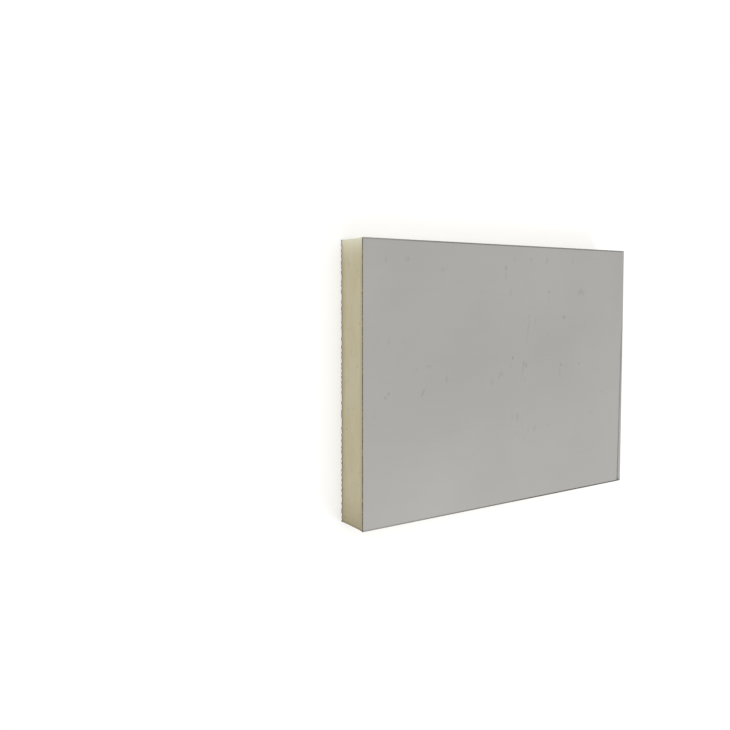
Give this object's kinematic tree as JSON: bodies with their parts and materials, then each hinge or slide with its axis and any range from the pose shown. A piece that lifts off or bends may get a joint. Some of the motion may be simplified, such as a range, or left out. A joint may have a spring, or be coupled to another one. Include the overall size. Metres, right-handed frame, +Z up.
{
  "type": "polyurethane insulation board",
  "caption": "Flat rectangular insulation board: rigid cream polyurethane foam core bonded between a smooth grey coated steel sheet and an embossed aluminium sheet.",
  "frame": {"origin": "middle of the face that the board lies on, at the crests of the embossing", "axes": "+X along the length, +Y across the width, +Z up through the thickness, out of the smooth facing"},
  "size_m": [0.2, 0.15, 0.0213],
  "materials": {
    "polyurethane_foam": "cut rigid foam, matt cream with fine closed cells",
    "coated_steel": "satin light grey coil coating, lightly scuffed",
    "embossed_aluminium": "bright mill aluminium with a random worm-like embossing"
  },
  "bodies": {
    "root": {"foam_core": "polyurethane_foam", "smooth_facing": "coated_steel", "embossed_facing": "embossed_aluminium"}
  },
  "joints": []
}
